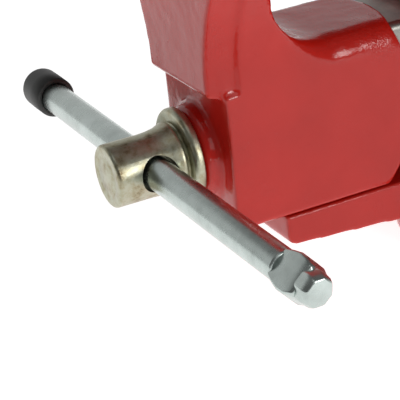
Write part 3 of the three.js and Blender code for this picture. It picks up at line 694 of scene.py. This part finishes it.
def makeHandleBar():
    s = handleSizes
    low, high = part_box("handle_bar")
    x = screwSizes["barX"]
    bar = addRod("handleBarPiece", s["radius"], (x, s["shoulder"], screwZ), (x, high.y, screwZ), 96)
    roundEdges(bar, 1.2 * mm, 4)
    shade(bar)

    length = s["shoulder"] + 2 * mm - s["flatEnd"]
    press = addCube("pressedFlats", (-mm, -length / 2, -mm), (mm, length / 2, mm))
    resizeRows(press, len(s["flats"]) - 1, length, s["flats"])
    roundEdges(press, 1.5 * mm, 4, 25)
    seatEnd(press, (s["shoulder"] + 2 * mm + s["flatEnd"]) / 2)

    noseLength = s["noseStart"] - s["tip"]
    clearSelection()
    bpy.ops.mesh.primitive_cylinder_add(
        vertices=8, radius=mm, depth=noseLength, rotation=(math.pi / 2, math.radians(22.5), 0))
    nose = bpy.context.object
    nose.name = "pressedNose"
    applyPlace(nose)
    resizeRows(nose, len(s["nose"]) - 1, noseLength, s["nose"])
    roundEdges(nose, 1.0 * mm, 4, 15)
    seatEnd(nose, (s["noseStart"] + s["tip"]) / 2)
    piece = joinPieces([bar, press, nose], "handleBarPiece")
    dress(piece, "handle", "bright_zinc", ["handle_bar"], barZinc)


def makeHandleCap():
    s = handleSizes
    low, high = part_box("handle_cap")
    outer, inner = s["capRadius"], s["radius"] + 0.2 * mm
    reach = high.y - low.y
    profile = [(inner, 0.4 * mm), (inner + 0.6 * mm, 0), (outer - 0.9 * mm, 0), (outer, 0.9 * mm)]
    profile += [(outer + 0.1 * mm, reach * 0.45)]
    profile += arcPoints(outer - 5 * mm, reach - 5 * mm, 5 * mm, 0, 90, 10)
    profile += [(0, reach), (0, reach - 2.5 * mm), (inner, reach - 2.5 * mm), (inner, 0.4 * mm)]
    piece = turnProfile("handleCapPiece", profile, (screwSizes["barX"], low.y, screwZ), (0, 1, 0), 72)
    shade(piece, 50)
    dress(piece, "handle", "black_rubber", ["handle_cap"], rubber)


makeHandleBar()
makeHandleCap()
print("handle made")


# jaw inserts: ground plates with a diamond-cut gripping face
insertSizes = {"pitch": 1.6 * mm, "tooth": 0.45 * mm, "edge": 2.0 * mm, "screwZone": 9.5 * mm}


def makeInsert(node, body, towards):
    low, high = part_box(node)
    piece = mergedCopy(node, node + "_piece")
    roundEdges(piece, 0.7 * mm, 2, 40)
    shade(piece)
    faceX = high.x if towards > 0 else low.x
    wide, tall = high.y - low.y - 2 * insertSizes["edge"], high.z - low.z - 2 * insertSizes["edge"]
    middle = (low + high) / 2
    columns, rows = int(wide / insertSizes["pitch"]), int(tall / insertSizes["pitch"])
    clearSelection()
    bpy.ops.mesh.primitive_grid_add(
        x_subdivisions=columns, y_subdivisions=rows, size=1,
        location=(faceX - towards * insertSizes["tooth"], middle.y, middle.z),
        rotation=(math.pi / 2, 0, math.pi / 2))
    knurl = bpy.context.object
    knurl.name = node + "_knurl"
    knurl.scale = (wide, tall, 1)
    applyPlace(knurl)
    screws = [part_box(node + "_screw_" + word) for word in ("near", "far")]
    centres = [((a.y + b.y) / 2, (a.z + b.z) / 2) for a, b in screws]
    stepY, stepZ = wide / columns, tall / rows
    for vertex in knurl.data.vertices:
        column = round((vertex.co.y - middle.y + wide / 2) / stepY)
        row = round((vertex.co.z - middle.z + tall / 2) / stepZ)
        inside = 0 < column < columns and 0 < row < rows
        vertex.select = inside and (column + row) % 2 == 0
    for element in [*knurl.data.edges, *knurl.data.polygons]:
        element.select = False
    bpy.ops.object.mode_set(mode="EDIT")
    bpy.ops.mesh.select_mode(type="VERT")
    bpy.ops.transform.translate(value=(towards * insertSizes["tooth"], 0, 0))
    bpy.ops.object.mode_set(mode="OBJECT")
    for vertex in knurl.data.vertices:
        gaps = [math.hypot(vertex.co.y - y, vertex.co.z - z) for y, z in centres]
        vertex.select = min(gaps) < insertSizes["screwZone"]
    bpy.ops.object.mode_set(mode="EDIT")
    bpy.ops.mesh.delete(type="VERT")
    bpy.ops.mesh.select_all(action="SELECT")
    bpy.ops.mesh.extrude_region_move(TRANSFORM_OT_translate={"value": (-towards * 1.2 * mm, 0, 0)})
    bpy.ops.mesh.select_all(action="SELECT")
    bpy.ops.mesh.normals_make_consistent(inside=False)
    bpy.ops.object.mode_set(mode="OBJECT")
    piece = joinPieces([piece, knurl], node + "_piece")
    dress(piece, body, "hard_steel", [node], toolSteel)


makeInsert("moving_insert", "moving_jaw", 1)
makeInsert("fixed_insert", "fixed_body", -1)
print("jaw inserts made")


# small hardware: the CAD shapes merged, edges rounded and smoothed
hardware = {
    "pivot_pin": ("base", "hard_steel", toolSteel, 0.4),
    "moving_insert_screw_near": ("moving_jaw", "black_oxide", blackSteel, 0.25),
    "moving_insert_screw_far": ("moving_jaw", "black_oxide", blackSteel, 0.25),
    "fixed_insert_screw_near": ("fixed_body", "black_oxide", blackSteel, 0.25),
    "fixed_insert_screw_far": ("fixed_body", "black_oxide", blackSteel, 0.25),
    "screw_nut": ("fixed_body", "bare_iron", flatIron, 0.8),
    "nut_bolt": ("fixed_body", "black_oxide", blackSteel, 0.5),
    "lock_bolt_near": ("fixed_body", "black_oxide", blackSteel, 0.5),
    "lock_bolt_far": ("fixed_body", "black_oxide", blackSteel, 0.5),
    "lock_washer_near": ("fixed_body", "bright_zinc", smallZinc, 0.3),
    "lock_washer_far": ("fixed_body", "bright_zinc", smallZinc, 0.3),
    "lock_nut_near": ("near_lock", "bright_zinc", smallZinc, 0.6),
    "lock_nut_far": ("far_lock", "bright_zinc", smallZinc, 0.6),
    "lock_lever_near": ("near_lock", "bright_zinc", smallZinc, 0.0),
    "lock_lever_far": ("far_lock", "bright_zinc", smallZinc, 0.0),
    "screw_spring": ("spindle", "hard_steel", toolSteel, 0.0),
    "screw_washer": ("spindle", "bright_zinc", smallZinc, 0.3),
    "screw_pin": ("spindle", "black_oxide", blackSteel, 0.4)}


def makeHardware():
    for node, (body, slot, material, edge) in hardware.items():
        piece = mergedCopy(node, node + "_piece")
        if edge:
            roundEdges(piece, edge * mm, 3, 40)
        shade(piece, 40)
        dress(piece, body, slot, [node], material)


makeHardware()
print("hardware made")
